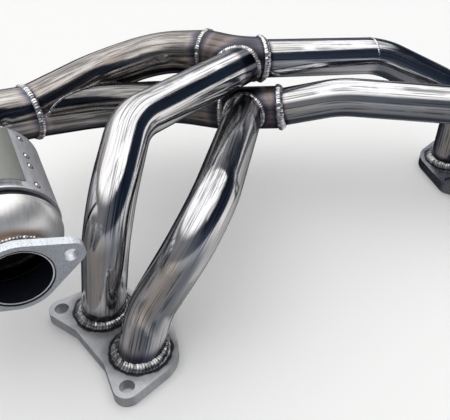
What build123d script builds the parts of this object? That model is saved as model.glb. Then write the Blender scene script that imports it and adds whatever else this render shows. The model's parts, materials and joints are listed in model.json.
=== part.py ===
"""Four-into-one exhaust manifold for a flat-four engine, with a built-in catalytic converter.

Two head flanges lie face down on Z = 0. Four primary runners rise from them and meet in pairs,
two secondary pipes lead to a bent inlet funnel, and the converter ends in a two-bolt flange.
X points from head flange A to head flange B, Y runs along each row of ports, Z is up.
Millimetres.
"""
from build123d import *
import math
import os

# ---- driving dimensions -------------------------------------------------------------------
RUNNER_OD = 42.7            # primary tube, outside diameter
SECONDARY_OD = 48.6         # junctions and secondary pipes
OUTLET_OD = 57.2            # pipe in the outlet flange
TUBE_WALL = 1.5
PORT_PITCH = 66.0           # between the two ports of one head
PORT_BORE = 36.0            # gas opening at the head face
HEAD_PLATE = 12.0           # thickness of a head flange
SOCKET_DEPTH = 8.0          # how far a runner goes down into its head flange
STUD_HOLE = 14.0
CORNER_STUD = (-32.0, 60.0)  # outboard stud holes, mirrored in Y
MIDDLE_STUD = (40.0, 0.0)    # single inboard stud hole
STUD_LOBE = 12.5
PORT_LOBE = 35.0
WAIST_X = -27.5             # bottom of the outboard V
BANK_PITCH = 491.0          # from head A to head B
BANK_STAGGER = -50.0        # head B sits this far along Y
WELD_TOE = 57.0             # diameter of the fillet weld on a head flange
WELD_LEG = 9.0
BEAD = 2.2                  # radius of a butt-weld bead
STEP_BEAD = 3.0             # radius of the bead where a runner enters a wider junction
SADDLE_BEAD = 3.0           # leg of a branch weld
SEAM_HIGH = 1.2             # low bead on the seam of runner 3
SEAM_WIDTH = 5.0
NECK_BEAD = 3.0             # radius of the bead round the outlet pipe
CRUMB = 100.0               # mm3; smaller left-over pieces of weld metal are dropped
LAP = 15.0                  # tubes are drawn this much longer, then trimmed at their joints
FOOT_LAP = 40.0             # the same at their feet, which lean in their sockets

# ---- routes (centre lines, chosen points with bend radii) ---------------------------------
HEAD_B = (BANK_PITCH, BANK_STAGGER)
HALF_PITCH = PORT_PITCH / 2
UPPER_RIGHT = (274.6, 116.8, 167.6)
UPPER_BEND = (252.0, 127.0, 170.0)
UPPER_LEFT = (238.4, 169.3, 168.0)
LOWER_RIGHT = (278.0, 83.5, 119.0)
LOWER_LEFT = (231.0, 129.6, 114.0)
RUNNER_3_SEAM = (403.0, 64.8, 152.8)
COLLECTOR = (26.0, 192.5, 154.0)
COLLECTOR_TOP = (26.0, 192.5, 156.7)      # where the two secondary pipes end, one over the other
COLLECTOR_LOW = (26.0, 192.5, 151.3)

ROUTE_1 = [(0.0, HALF_PITCH, HEAD_PLATE), (4.5, 9.3, 137.9), (75.9, 76.7, 176.9),
           (262.0, 122.4, 166.2)]
RADII_1 = [67.0, 62.0]
ROUTE_2 = [(0.0, -HALF_PITCH, HEAD_PLATE), (18.3, -23.2, 43.5), (66.5, -51.7, 145.8),
           (250.0, 112.0, 116.0)]
RADII_2 = [65.0, 58.0]
ROUTE_3 = [UPPER_RIGHT, (415.0, 60.0, 151.4), (497.0, -16.2, 100.4),
           (HEAD_B[0], HEAD_B[1] + HALF_PITCH, HEAD_PLATE)]
RADII_3 = [90.0, 60.0]
ROUTE_4 = [LOWER_RIGHT, (324.0, 37.5, 136.0), (452.0, -88.0, 130.0),
           (HEAD_B[0], HEAD_B[1] - HALF_PITCH, HEAD_PLATE)]
RADII_4 = [120.0, 62.0]
ROUTE_UPPER = [UPPER_RIGHT, UPPER_BEND, UPPER_LEFT]
RADII_UPPER = [50.0]
ROUTE_LOWER = [LOWER_RIGHT, LOWER_LEFT]
ROUTE_SEC_1 = [UPPER_LEFT, (208.0, 225.4, 156.5), (134.7, 240.0, 147.3), COLLECTOR_TOP]
RADII_SEC_1 = [66.0, 110.0]
ROUTE_SEC_2 = [LOWER_LEFT, (197.0, 184.0, 112.5), (106.7, 203.6, 128.5), COLLECTOR_LOW]
RADII_SEC_2 = [70.0, 150.0]

# ---- converter ----------------------------------------------------------------------------
CAT_AXIS = Vector(-0.228, -0.950, -0.215).normalized()   # gas flow through the body
CAT_END = Vector(-72.7, 55.6, 132.9)                     # outlet end of the heat shield
SHELL_R = 51.0
SHIELD_R = 54.0
SHELL_WALL = 1.5
SHELL_SPAN = (-80.0, 12.0)       # along CAT_AXIS from CAT_END
SHIELD_SPAN = (-75.6, 0.0)
BRICK_SPAN = (-74.0, 0.0)
BRICK_R = 45.0
WINDOW_ANGLE = 31.0             # half angle of the opening in the upper shield
WINDOW_SPAN = (-8.5, -1.4)
PLATE_ANGLE = 35.0              # half angle of the nameplate
PLATE_SPAN = (-74.6, -8.6)
PLATE_THICK = 0.8
RIVET_ANGLE = 47.0
RIVET_STATIONS = (-67.0, -44.6, -31.8, -8.2)
RIVET_R = 2.4
RIVET_HIGH = 1.3
SHIELD_SPLIT = 95.0             # half angle covered by the upper shield
BOTTOM_LINE = -90.0
INLET_R = 27.0                  # bent pipe between the collector and the inlet cone
INLET_CONE_START = -107.0       # along CAT_AXIS from CAT_END
ELBOW_CORNER = -144.0
ELBOW_RADIUS = 44.0
COLLAR_R = SHELL_R + SHELL_WALL
COLLAR_START = 6.5              # outlet cone profile: radii and stations
DOME_MID = (47.0, 24.0)
DOME_TIP = (22.0, 35.5)

# ---- outlet flange ------------------------------------------------------------------------
OUTLET = Vector(-80.9, 2.5, 124.2)                       # centre of the outlet face
OUTLET_AXIS = Vector(-0.257, -0.964, -0.061).normalized()
OUTLET_PLATE = 8.5
OUTLET_BOLT_PITCH = 90.0
OUTLET_BOLT_HOLE = 12.5
OUTLET_EAR = 12.0
OUTLET_HUB = 34.0
OUTLET_EAR_TILT = 14.0          # ear line above the horizontal, degrees
NECK_BACK = 26.0                # start of the outlet pipe behind the outlet face
NECK_WELD_BACK = 20.0           # bead where the pipe leaves the cone
PIPE_RECESS = 1.0               # its other end lies this far inside the face

# ---- oxygen sensor bosses -----------------------------------------------------------------
BOSS_R = 12.0
BOSS_HIGH = 14.0
BOSS_THREAD_R = 9.0             # M18 x 1.5
BOSS_RELIEF_R = 9.8             # wider hole through the sheet under the boss
BOSS_UP_SEAT = (-45.7, 198.9, 176.8)
BOSS_UP_AXIS = (-0.50, 0.60, 0.62)
BOSS_DOWN_STATION = 8.0
BOSS_DOWN_LEAN = (-0.80, 0.45, 0.32)   # local X, local Y and along the converter axis
BOSS_DOWN_RADIUS = 51.0
CUTTER = 1500.0                 # side of the blocks used as half spaces


def save(shape, name):
    export_step(shape, f"parts/{name}.step")


def rod(points, radii, radius):
    """Solid round bar along straight runs joined by tangent arcs."""
    if len(points) == 2:
        path = Line(*points)
    else:
        path = FilletPolyline(*points, radius=radii)
    section = Plane(origin=path @ 0, z_dir=path % 0) * Circle(radius)
    return sweep(section, path=path)


def extended(points, before=0.0, after=0.0):
    """The same route, with its first and last runs made longer."""
    head, second = Vector(*points[0]), Vector(*points[1])
    tail, last = Vector(*points[-2]), Vector(*points[-1])
    start = head + (head - second).normalized() * before
    end = last + (last - tail).normalized() * after
    return [tuple(start), *points[1:-1], tuple(end)]


def facing(origin, normal):
    return Plane(origin=origin, z_dir=normal)


def half_space(origin, normal):
    """Everything on the side that normal points away from."""
    block = Box(CUTTER, CUTTER, CUTTER, align=(Align.CENTER, Align.CENTER, Align.MAX))
    return facing(origin, normal) * block


def direction(a, b):
    return (Vector(*b) - Vector(*a)).normalized()


def ring_bead(centre, normal, radius, bead=BEAD):
    return facing(centre, normal) * Torus(radius, bead)


def outlet_point(back):
    return OUTLET - OUTLET_AXIS * back


def cat_plane(station):
    """Plane across the converter body, its local Y as near to straight up as the axis allows."""
    across = Vector(0, 0, 1).cross(CAT_AXIS).normalized()
    return Plane(origin=CAT_END + CAT_AXIS * station, x_dir=across, z_dir=CAT_AXIS)


def cat_sector(radius_in, radius_out, half_angle, span, middle=90.0):
    """Part of a sleeve round the converter; half_angle is measured from its top line."""
    angles = [middle - half_angle, middle, middle + half_angle]
    rim = []
    for radius, order in ((radius_out, angles), (radius_in, angles[::-1])):
        rim.append([(radius * math.cos(math.radians(a)), radius * math.sin(math.radians(a)))
                    for a in order])
    outer, inner = rim
    wire = Wire([ThreePointArc(*outer).edge(), Line(outer[-1], inner[0]).edge(),
                 ThreePointArc(*inner).edge(), Line(inner[-1], outer[0]).edge()])
    return extrude(cat_plane(span[0]) * Face(wire), amount=span[1] - span[0], dir=CAT_AXIS)


def cat_disc(radius, span):
    return extrude(cat_plane(span[0]) * Circle(radius), amount=span[1] - span[0], dir=CAT_AXIS)


# ---- head flanges -------------------------------------------------------------------------
def lobe_tangent(point, centre, radius):
    """Where the outer tangent from point touches a corner lobe, for positive Y."""
    dx, dy = point[0] - centre[0], point[1] - centre[1]
    away = math.atan2(dy, dx)
    spread = math.acos(radius / math.hypot(dx, dy))
    angle = away - spread
    return centre[0] + radius * math.cos(angle), centre[1] + radius * math.sin(angle)


def circle_edges(x, y, radius):
    return (Pos(x, y) * Circle(radius)).edges()


def head_outline():
    """Two port circles, three stud lobes and the webs between them."""
    corner_x, corner_y = CORNER_STUD
    port_a = circle_edges(0, HALF_PITCH, PORT_LOBE)
    port_b = circle_edges(0, -HALF_PITCH, PORT_LOBE)
    wing = make_hull([*circle_edges(corner_x, corner_y, STUD_LOBE), *port_a])
    inboard = make_hull([*port_a, *port_b, *circle_edges(*MIDDLE_STUD, STUD_LOBE)])
    touch = lobe_tangent((WAIST_X, 0), (corner_x, corner_y), STUD_LOBE)
    corners = [(WAIST_X, 0), touch, (0, HALF_PITCH), (0, -HALF_PITCH), (touch[0], -touch[1])]
    web = make_face(Polyline(*corners, close=True))
    return Sketch() + [wing, mirror(wing, about=Plane.XZ), inboard, web]


def head_flange(runner_bars, place):
    plate = extrude(head_outline(), amount=HEAD_PLATE)
    corner_x, corner_y = CORNER_STUD
    for x, y in ((corner_x, corner_y), (corner_x, -corner_y), MIDDLE_STUD):
        plate -= Pos(x, y, HEAD_PLATE / 2) * Cylinder(STUD_HOLE / 2, HEAD_PLATE * 2)
    for y in (HALF_PITCH, -HALF_PITCH):
        plate -= Pos(0, y, HEAD_PLATE / 2) * Cylinder(PORT_BORE / 2, HEAD_PLATE * 2)
    plate = place * plate
    for bar in runner_bars:
        plate -= above_socket(bar)
    return plate


def above_socket(shape):
    """Cut a runner off square at the bottom of its socket in the head flange."""
    return shape - half_space((0, 0, HEAD_PLATE - SOCKET_DEPTH), (0, 0, 1))


def fillet_weld(foot_x, foot_y, bar):
    """Cone of weld metal round the foot of a runner."""
    top = RUNNER_OD / 2 + BEAD
    cone = Cone(WELD_TOE / 2, top, WELD_LEG)
    return Pos(foot_x, foot_y, HEAD_PLATE + WELD_LEG / 2) * cone - bar


# ---- tubes --------------------------------------------------------------------------------
def largest(shape):
    return max(shape.solids(), key=lambda solid: solid.volume)


def bars(route, radii, diameter, before=0.0, after=0.0):
    """Outer and bore solids of one tube."""
    points = extended(route, before, after)
    outer = rod(points, radii, diameter / 2)
    bore = rod(points, radii, diameter / 2 - TUBE_WALL)
    return outer, bore


def joint(point, before, after):
    """Half space behind a mitred joint; before and after are the directions of the two tubes."""
    return half_space(point, (before + after).normalized())


os.makedirs("parts", exist_ok=True)

outer_1, bore_1 = bars(ROUTE_1, RADII_1, RUNNER_OD, before=FOOT_LAP)
outer_2, bore_2 = bars(ROUTE_2, RADII_2, RUNNER_OD, before=FOOT_LAP)
outer_3, bore_3 = bars(ROUTE_3, RADII_3, RUNNER_OD, before=LAP, after=FOOT_LAP)
outer_4, bore_4 = bars(ROUTE_4, RADII_4, RUNNER_OD, before=LAP, after=FOOT_LAP)
outer_u, bore_u = bars(ROUTE_UPPER, RADII_UPPER, SECONDARY_OD, before=LAP, after=LAP)
outer_l, bore_l = bars(ROUTE_LOWER, [], SECONDARY_OD, before=LAP, after=LAP)
outer_s1, bore_s1 = bars(ROUTE_SEC_1, RADII_SEC_1, SECONDARY_OD, before=LAP, after=LAP)
outer_s2, bore_s2 = bars(ROUTE_SEC_2, RADII_SEC_2, SECONDARY_OD, before=LAP, after=LAP)

# mitre planes; each block is on the gas-inlet side of its joint
from_3 = direction(ROUTE_3[1], ROUTE_3[0])
from_4 = direction(ROUTE_4[1], ROUTE_4[0])
along_u = direction(ROUTE_UPPER[0], ROUTE_UPPER[1])
leave_u = direction(ROUTE_UPPER[1], ROUTE_UPPER[2])
along_l = direction(LOWER_RIGHT, LOWER_LEFT)
into_s1 = direction(ROUTE_SEC_1[0], ROUTE_SEC_1[1])
into_s2 = direction(ROUTE_SEC_2[0], ROUTE_SEC_2[1])
before_ur = joint(UPPER_RIGHT, from_3, along_u)
before_ul = joint(UPPER_LEFT, leave_u, into_s1)
before_lr = joint(LOWER_RIGHT, from_4, along_l)
before_ll = joint(LOWER_LEFT, along_l, into_s2)
past_collector = half_space(COLLECTOR, (1, 0, 0))

outer_3 &= before_ur
outer_4 &= before_lr
outer_u = outer_u - before_ur & before_ul
outer_l = outer_l - before_lr & before_ll
outer_s1 = outer_s1 - before_ul - past_collector
outer_s2 = outer_s2 - before_ll - past_collector

runner_1 = above_socket(outer_1) - bore_1 - outer_u
runner_2 = above_socket(outer_2) - bore_2 - outer_l
runner_3 = above_socket(outer_3) - bore_3
runner_4 = above_socket(outer_4) - bore_4

# runner 3 is two pieces, butt-welded on its first straight run
seam_dir = direction(ROUTE_3[0], ROUTE_3[1])
before_seam = half_space(RUNNER_3_SEAM, seam_dir)
runner_3_inner = runner_3 & before_seam
runner_3_outer = runner_3 - before_seam

upper_junction = outer_u - bore_u - bore_1
lower_junction = outer_l - bore_l - bore_2

# the second secondary pipe is saddled onto the first, just before the collector
secondary_1 = outer_s1 - bore_s1 - bore_s2
secondary_2 = largest(outer_s2 - bore_s2 - outer_s1)


# ---- converter ----------------------------------------------------------------------------
def turned(profile):
    """Body turned about the converter axis; profile is (radius, station) points, arcs as triples."""
    across = Vector(0, 0, 1).cross(CAT_AXIS).normalized()
    frame = Plane(origin=CAT_END, x_dir=across, z_dir=across.cross(CAT_AXIS))
    edges = [Line(*run) if len(run) == 2 else ThreePointArc(*run) for run in profile]
    face = make_face(Curve() + edges)
    return revolve(frame * face, axis=Axis(tuple(CAT_END), tuple(CAT_AXIS)))


def outlet_bar(radius, back, front):
    section = facing(outlet_point(back), OUTLET_AXIS) * Circle(radius)
    return extrude(section, amount=back - front, dir=OUTLET_AXIS)


def straight_cone(start_radius, end_radius):
    start, end = (start_radius, INLET_CONE_START), (end_radius, SHELL_SPAN[0])
    foot, top = (0, INLET_CONE_START), (0, SHELL_SPAN[0])
    return turned([[start, end], [end, top], [top, foot], [foot, start]])


# bent inlet pipe, then a straight cone up to the shell
elbow_end = CAT_END + CAT_AXIS * INLET_CONE_START
elbow_route = [COLLECTOR, tuple(CAT_END + CAT_AXIS * ELBOW_CORNER), tuple(elbow_end)]
outer_e, bore_e = bars(elbow_route, [ELBOW_RADIUS], INLET_R * 2, before=LAP)
outer_e &= past_collector
inlet_elbow = outer_e - bore_e

shell_start, shell_end = SHELL_SPAN
cone_outer = straight_cone(INLET_R, SHELL_R)
inlet_cone = cone_outer - straight_cone(INLET_R - SHELL_WALL, SHELL_R - SHELL_WALL)

# the outlet cone is a dome with a short collar that slips over the shell
dome_mid = (DOME_MID[0] - SHELL_WALL, DOME_MID[1] - SHELL_WALL / 2)
dome_tip = (DOME_TIP[0], DOME_TIP[1] - SHELL_WALL)
outlet_cone = turned([[(SHELL_R, COLLAR_START), (COLLAR_R, COLLAR_START)],
                      [(COLLAR_R, COLLAR_START), (COLLAR_R, shell_end)],
                      [(COLLAR_R, shell_end), DOME_MID, DOME_TIP],
                      [DOME_TIP, dome_tip],
                      [dome_tip, dome_mid, (SHELL_R, shell_end)],
                      [(SHELL_R, shell_end), (SHELL_R, COLLAR_START)]])
outlet_cone -= outlet_bar(OUTLET_OD / 2, NECK_BACK, 0)

cat_shell = cat_disc(SHELL_R, SHELL_SPAN) - cat_disc(SHELL_R - SHELL_WALL, SHELL_SPAN)
cat_brick = cat_disc(BRICK_R, BRICK_SPAN)
cat_mat = cat_disc(SHELL_R - SHELL_WALL, BRICK_SPAN) - cat_disc(BRICK_R, BRICK_SPAN)

shield_upper = cat_sector(SHELL_R, SHIELD_R, SHIELD_SPLIT, SHIELD_SPAN)
shield_upper -= cat_sector(SHELL_R - 1, SHIELD_R + 1, WINDOW_ANGLE, WINDOW_SPAN)
shield_lower = cat_sector(SHELL_R, SHIELD_R, 180 - SHIELD_SPLIT, SHIELD_SPAN, BOTTOM_LINE)
nameplate = cat_sector(SHIELD_R, SHIELD_R + PLATE_THICK, PLATE_ANGLE, PLATE_SPAN)


def rivet(angle, station):
    """Domed rivet head standing on the shield."""
    up = math.radians(90 - angle)
    base = cat_plane(station)
    out = base.x_dir * math.cos(up) + base.y_dir * math.sin(up)
    seat = base.origin + out * SHIELD_R
    ball_radius = (RIVET_R ** 2 + RIVET_HIGH ** 2) / (2 * RIVET_HIGH)
    ball = Pos(*(seat + out * (RIVET_HIGH - ball_radius))) * Sphere(ball_radius)
    return ball - cat_disc(SHIELD_R, SHELL_SPAN)


rivets = [rivet(side * RIVET_ANGLE, station)
          for side in (1, -1) for station in RIVET_STATIONS]


# ---- outlet -------------------------------------------------------------------------------
def outlet_flange():
    """Two-bolt flange: hub circle, two ears and the tangent webs."""
    across = Vector(0, 0, 1).cross(OUTLET_AXIS).normalized()
    face = Plane(origin=outlet_point(OUTLET_PLATE), x_dir=across, z_dir=OUTLET_AXIS)
    reach = OUTLET_BOLT_PITCH / 2
    ears = [*circle_edges(reach, 0, OUTLET_EAR), *circle_edges(-reach, 0, OUTLET_EAR)]
    outline = make_hull([*ears, *circle_edges(0, 0, OUTLET_HUB)])
    outline -= Circle(OUTLET_OD / 2)
    for x in (reach, -reach):
        outline -= Pos(x, 0) * Circle(OUTLET_BOLT_HOLE / 2)
    plate = extrude(face * Rot(0, 0, OUTLET_EAR_TILT) * outline, amount=OUTLET_PLATE,
                    dir=OUTLET_AXIS)
    return plate


outlet_pipe = outlet_bar(OUTLET_OD / 2, NECK_BACK, PIPE_RECESS)
outlet_pipe -= outlet_bar(OUTLET_OD / 2 - TUBE_WALL, NECK_BACK, PIPE_RECESS)


# ---- oxygen sensor bosses -----------------------------------------------------------------
def sensor_boss(seat, out, host):
    """Weld-in threaded boss; host is the solid that it stands on."""
    base = facing(seat, out)
    body = base * Pos(0, 0, BOSS_HIGH / 2 - 4) * Cylinder(BOSS_R, BOSS_HIGH + 8)
    return body - host


def sensor_way(seat, out):
    """Cutter for the thread in a boss and for the wider hole below its seat."""
    base = facing(seat, out)
    thread = base * Pos(0, 0, BOSS_HIGH) * Cylinder(BOSS_THREAD_R, 2 * BOSS_HIGH)
    relief = base * Pos(0, 0, -BOSS_HIGH) * Cylinder(BOSS_RELIEF_R, 2 * BOSS_HIGH)
    return thread + relief


# ---- weld beads ---------------------------------------------------------------------------
def weld(metal, *parents):
    """Weld metal with its parent pieces cut away; crumbs inside the corner are dropped."""
    for parent in parents:
        metal -= parent
    return Compound([solid for solid in metal.solids() if solid.volume > CRUMB])


def corner_weld(first, second, *parents):
    """Weld in the corner where two tubes meet; first and second are (route, bends, radius)."""
    near = [rod(extended(route, LAP, LAP), bends, radius) for route, bends, radius in
            (first, second)]
    return weld(near[0] & near[1], *parents)


tube_r = RUNNER_OD / 2
trunk_r = SECONDARY_OD / 2
outlet_r = OUTLET_OD / 2
leave_upper = (leave_u + into_s1).normalized()
leave_lower = (along_l + into_s2).normalized()

weld_ur = weld(ring_bead(UPPER_RIGHT, along_u, tube_r + 1, STEP_BEAD), outer_3, outer_u)
weld_lr = weld(ring_bead(LOWER_RIGHT, along_l, tube_r + 1, STEP_BEAD), outer_4, outer_l)
weld_ul = weld(ring_bead(UPPER_LEFT, leave_upper, trunk_r), outer_u, outer_s1)
weld_ll = weld(ring_bead(LOWER_LEFT, leave_lower, trunk_r), outer_l, outer_s2)

weld_branch_u = corner_weld((ROUTE_1, RADII_1, tube_r + SADDLE_BEAD),
                            (ROUTE_UPPER, RADII_UPPER, trunk_r + SADDLE_BEAD),
                            outer_1, outer_u, outer_3, weld_ur, weld_ul)
weld_branch_l = corner_weld((ROUTE_2, RADII_2, tube_r + SADDLE_BEAD),
                            (ROUTE_LOWER, [], trunk_r + SADDLE_BEAD),
                            outer_2, outer_l, outer_4, weld_lr, weld_ll)

collector_ring = facing(COLLECTOR, (1, 0, 0)) * Cylinder(INLET_R + BEAD, 2 * STEP_BEAD)
weld_collector = weld(collector_ring, outer_s1, outer_s2, outer_e)
weld_valley = corner_weld((ROUTE_SEC_1, RADII_SEC_1, trunk_r + BEAD),
                          (ROUTE_SEC_2, RADII_SEC_2, trunk_r + BEAD),
                          outer_s1, outer_s2, past_collector, weld_collector)

seam_half = seam_dir * (SEAM_WIDTH / 2)
seam_metal = rod(ROUTE_3, RADII_3, tube_r + SEAM_HIGH)
seam_metal -= half_space(Vector(*RUNNER_3_SEAM) - seam_half, seam_dir)
seam_metal &= half_space(Vector(*RUNNER_3_SEAM) + seam_half, seam_dir)
weld_seam = weld(seam_metal, outer_3)
weld_elbow = weld(ring_bead(elbow_end, CAT_AXIS, INLET_R), outer_e, cone_outer)
shell_edge = CAT_END + CAT_AXIS * shell_start
weld_shell = weld(ring_bead(shell_edge, CAT_AXIS, SHELL_R), cone_outer,
                  cat_disc(SHELL_R, SHELL_SPAN))
dome_solid = turned([[(0, COLLAR_START), (COLLAR_R, COLLAR_START)],
                     [(COLLAR_R, COLLAR_START), (COLLAR_R, shell_end)],
                     [(COLLAR_R, shell_end), DOME_MID, DOME_TIP],
                     [DOME_TIP, (0, DOME_TIP[1])], [(0, DOME_TIP[1]), (0, COLLAR_START)]])
pipe_solid = outlet_bar(outlet_r, NECK_BACK, PIPE_RECESS)
neck_ring = ring_bead(outlet_point(NECK_WELD_BACK), CAT_AXIS, outlet_r + 0.6, NECK_BEAD)
weld_neck = weld(neck_ring, pipe_solid, dome_solid)
outlet_plate = outlet_flange()
outlet_ring = ring_bead(outlet_point(OUTLET_PLATE + 1), OUTLET_AXIS, outlet_r + 1)
weld_outlet = weld(outlet_ring, pipe_solid, outlet_plate)

welds_head_a = [fillet_weld(0, HALF_PITCH, outer_1), fillet_weld(0, -HALF_PITCH, outer_2)]
welds_head_b = [fillet_weld(HEAD_B[0], HEAD_B[1] + HALF_PITCH, outer_3),
                fillet_weld(HEAD_B[0], HEAD_B[1] - HALF_PITCH, outer_4)]

# ---- sensor bosses in place ---------------------------------------------------------------
boss_up_axis = Vector(*BOSS_UP_AXIS).normalized()
boss_up_seat = Vector(*BOSS_UP_SEAT)
boss_plane = cat_plane(BOSS_DOWN_STATION)
lean_x, lean_y, lean_z = BOSS_DOWN_LEAN
boss_down_axis = (boss_plane.x_dir * lean_x + boss_plane.y_dir * lean_y
                  + boss_plane.z_dir * lean_z).normalized()
boss_down_seat = boss_plane.origin + boss_down_axis * BOSS_DOWN_RADIUS
way_up = sensor_way(boss_up_seat, boss_up_axis)
way_down = sensor_way(boss_down_seat, boss_down_axis)
boss_up = sensor_boss(boss_up_seat, boss_up_axis, outer_e) - way_up
boss_down = sensor_boss(boss_down_seat, boss_down_axis, dome_solid) - way_down
inlet_elbow -= way_up
outlet_cone -= way_down

# ---- write the nodes ----------------------------------------------------------------------
head_b_place = Pos(HEAD_B[0], HEAD_B[1], 0) * Rot(0, 0, 180)
plate_a = head_flange([outer_1, outer_2], Pos(0, 0, 0))
plate_b = head_flange([outer_3, outer_4], head_b_place)

nodes = {
    "head_flange_a": plate_a,
    "head_flange_b": plate_b,
    "runner_1": largest(runner_1),
    "runner_2": largest(runner_2),
    "runner_3_inner": runner_3_inner,
    "runner_3_outer": runner_3_outer,
    "runner_4": runner_4,
    "upper_junction": upper_junction,
    "lower_junction": lower_junction,
    "secondary_pipe_1": secondary_1,
    "secondary_pipe_2": secondary_2,
    "inlet_elbow": inlet_elbow,
    "inlet_cone": inlet_cone,
    "converter_shell": cat_shell,
    "support_mat": cat_mat,
    "catalyst_brick": cat_brick,
    "outlet_cone": outlet_cone,
    "outlet_pipe": outlet_pipe,
    "outlet_flange": outlet_plate,
    "heat_shield_upper": shield_upper,
    "heat_shield_lower": shield_lower,
    "nameplate": nameplate,
    "shield_rivets": Compound(rivets),
    "sensor_boss_upstream": boss_up,
    "sensor_boss_downstream": boss_down,
    "weld_head_a": Compound([largest(metal) for metal in welds_head_a]),
    "weld_head_b": Compound([largest(metal) for metal in welds_head_b]),
    "weld_branch_upper": weld_branch_u,
    "weld_branch_lower": weld_branch_l,
    "weld_upper_right": weld_ur,
    "weld_upper_left": weld_ul,
    "weld_lower_right": weld_lr,
    "weld_lower_left": weld_ll,
    "weld_runner_3_seam": weld_seam,
    "weld_valley": weld_valley,
    "weld_collector": weld_collector,
    "weld_elbow": weld_elbow,
    "weld_shell": weld_shell,
    "weld_neck": weld_neck,
    "weld_outlet_flange": weld_outlet,
}
for name, shape in nodes.items():
    save(shape, name)
print("nodes", len(nodes))
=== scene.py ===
"""Looks of the exhaust manifold: camera, studio, weld beads and metal finishes on the CAD frame."""
import json
import math

import bmesh
import bpy
import numpy as np
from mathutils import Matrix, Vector


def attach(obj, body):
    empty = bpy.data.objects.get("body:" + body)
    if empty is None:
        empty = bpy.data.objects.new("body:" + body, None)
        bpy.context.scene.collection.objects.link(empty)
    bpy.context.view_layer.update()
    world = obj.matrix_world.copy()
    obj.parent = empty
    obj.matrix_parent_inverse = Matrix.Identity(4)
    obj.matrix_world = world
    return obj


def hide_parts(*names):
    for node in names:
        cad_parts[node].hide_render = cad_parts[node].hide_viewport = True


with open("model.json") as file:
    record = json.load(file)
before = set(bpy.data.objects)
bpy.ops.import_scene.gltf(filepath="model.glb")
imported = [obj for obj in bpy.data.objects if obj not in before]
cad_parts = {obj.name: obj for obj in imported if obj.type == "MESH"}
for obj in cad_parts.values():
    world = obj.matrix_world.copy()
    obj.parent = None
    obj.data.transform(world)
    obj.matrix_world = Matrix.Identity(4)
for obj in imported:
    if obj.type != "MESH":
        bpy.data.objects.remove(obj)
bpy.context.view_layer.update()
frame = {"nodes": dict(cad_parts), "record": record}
nodes = frame["nodes"]

MM = 0.001

# ---- camera -------------------------------------------------------------------------------
CAMERA_AT = (-0.1887, -0.3888, 0.4821)
CAMERA_AZIMUTH = 39.1           # degrees from +Y towards +X
CAMERA_DOWN = 37.8              # degrees below the horizon
SENSOR = 36.0
LENS = 51.9


def add_camera():
    turn, down = math.radians(CAMERA_AZIMUTH), math.radians(CAMERA_DOWN)
    forward = Vector((math.cos(down) * math.sin(turn), math.cos(down) * math.cos(turn),
                      -math.sin(down)))
    data = bpy.data.cameras.new("camera")
    data.sensor_width = SENSOR
    data.lens = LENS
    data.clip_start = 0.01
    data.clip_end = 50.0
    camera = bpy.data.objects.new("camera", data)
    camera.location = CAMERA_AT
    camera.rotation_euler = forward.to_track_quat("-Z", "Y").to_euler()
    bpy.context.scene.collection.objects.link(camera)
    bpy.context.scene.camera = camera


add_camera()


# ---- node helpers -------------------------------------------------------------------------
def put(tree, kind, values=None, **settings):
    """One shader node; values maps a socket to a number, a colour or another node's output."""
    node = tree.nodes.new("ShaderNode" + kind)
    for key, value in settings.items():
        setattr(node, key, value)
    for key, value in (values or {}).items():
        if isinstance(value, bpy.types.NodeSocket):
            tree.links.new(value, node.inputs[key])
        else:
            node.inputs[key].default_value = value
    return node


def calc(tree, operation, a, b=0.0):
    return put(tree, "Math", {0: a, 1: b}, operation=operation).outputs[0]


def vector(tree, operation, a, b=(0, 0, 0), out=0):
    return put(tree, "VectorMath", {0: a, 1: b}, operation=operation).outputs[out]


def span(tree, value, low, high, to_low=0.0, to_high=1.0, smooth=True):
    kind = "SMOOTHSTEP" if smooth else "LINEAR"
    return put(tree, "MapRange", {0: value, 1: low, 2: high, 3: to_low, 4: to_high},
               interpolation_type=kind).outputs[0]


def blend(tree, factor, a, b):
    """The two colours a and b mixed, with factor the share of b."""
    return put(tree, "Mix", {0: factor, 6: a, 7: b}, data_type="RGBA").outputs[2]


def ramp(tree, factor, stops):
    node = put(tree, "ValToRGB", {0: factor})
    points = node.color_ramp.elements
    while len(points) < len(stops):
        points.new(0.5)
    for point, (place, colour) in zip(points, stops):
        point.position = place
        point.color = (*colour, 1.0)
    return node.outputs[0]


def noise(tree, coords, scale, detail=3.0, rough=0.5, distortion=0.0):
    return put(tree, "TexNoise", {"Vector": coords, "Scale": scale, "Detail": detail,
                                  "Roughness": rough, "Distortion": distortion}).outputs[0]


def scaled(tree, value, factor):
    return put(tree, "VectorMath", {0: value, "Scale": factor}, operation="SCALE").outputs[0]


def mean(tree, share, a, b):
    """The two numbers a and b mixed, with that share of b."""
    return put(tree, "Mix", {0: share, 2: a, 3: b}).outputs[0]


def tinted(tone, factor=1.0):
    """A tone made darker or lighter by factor, as a node colour."""
    return (*[factor * part for part in tone], 1.0)


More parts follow.
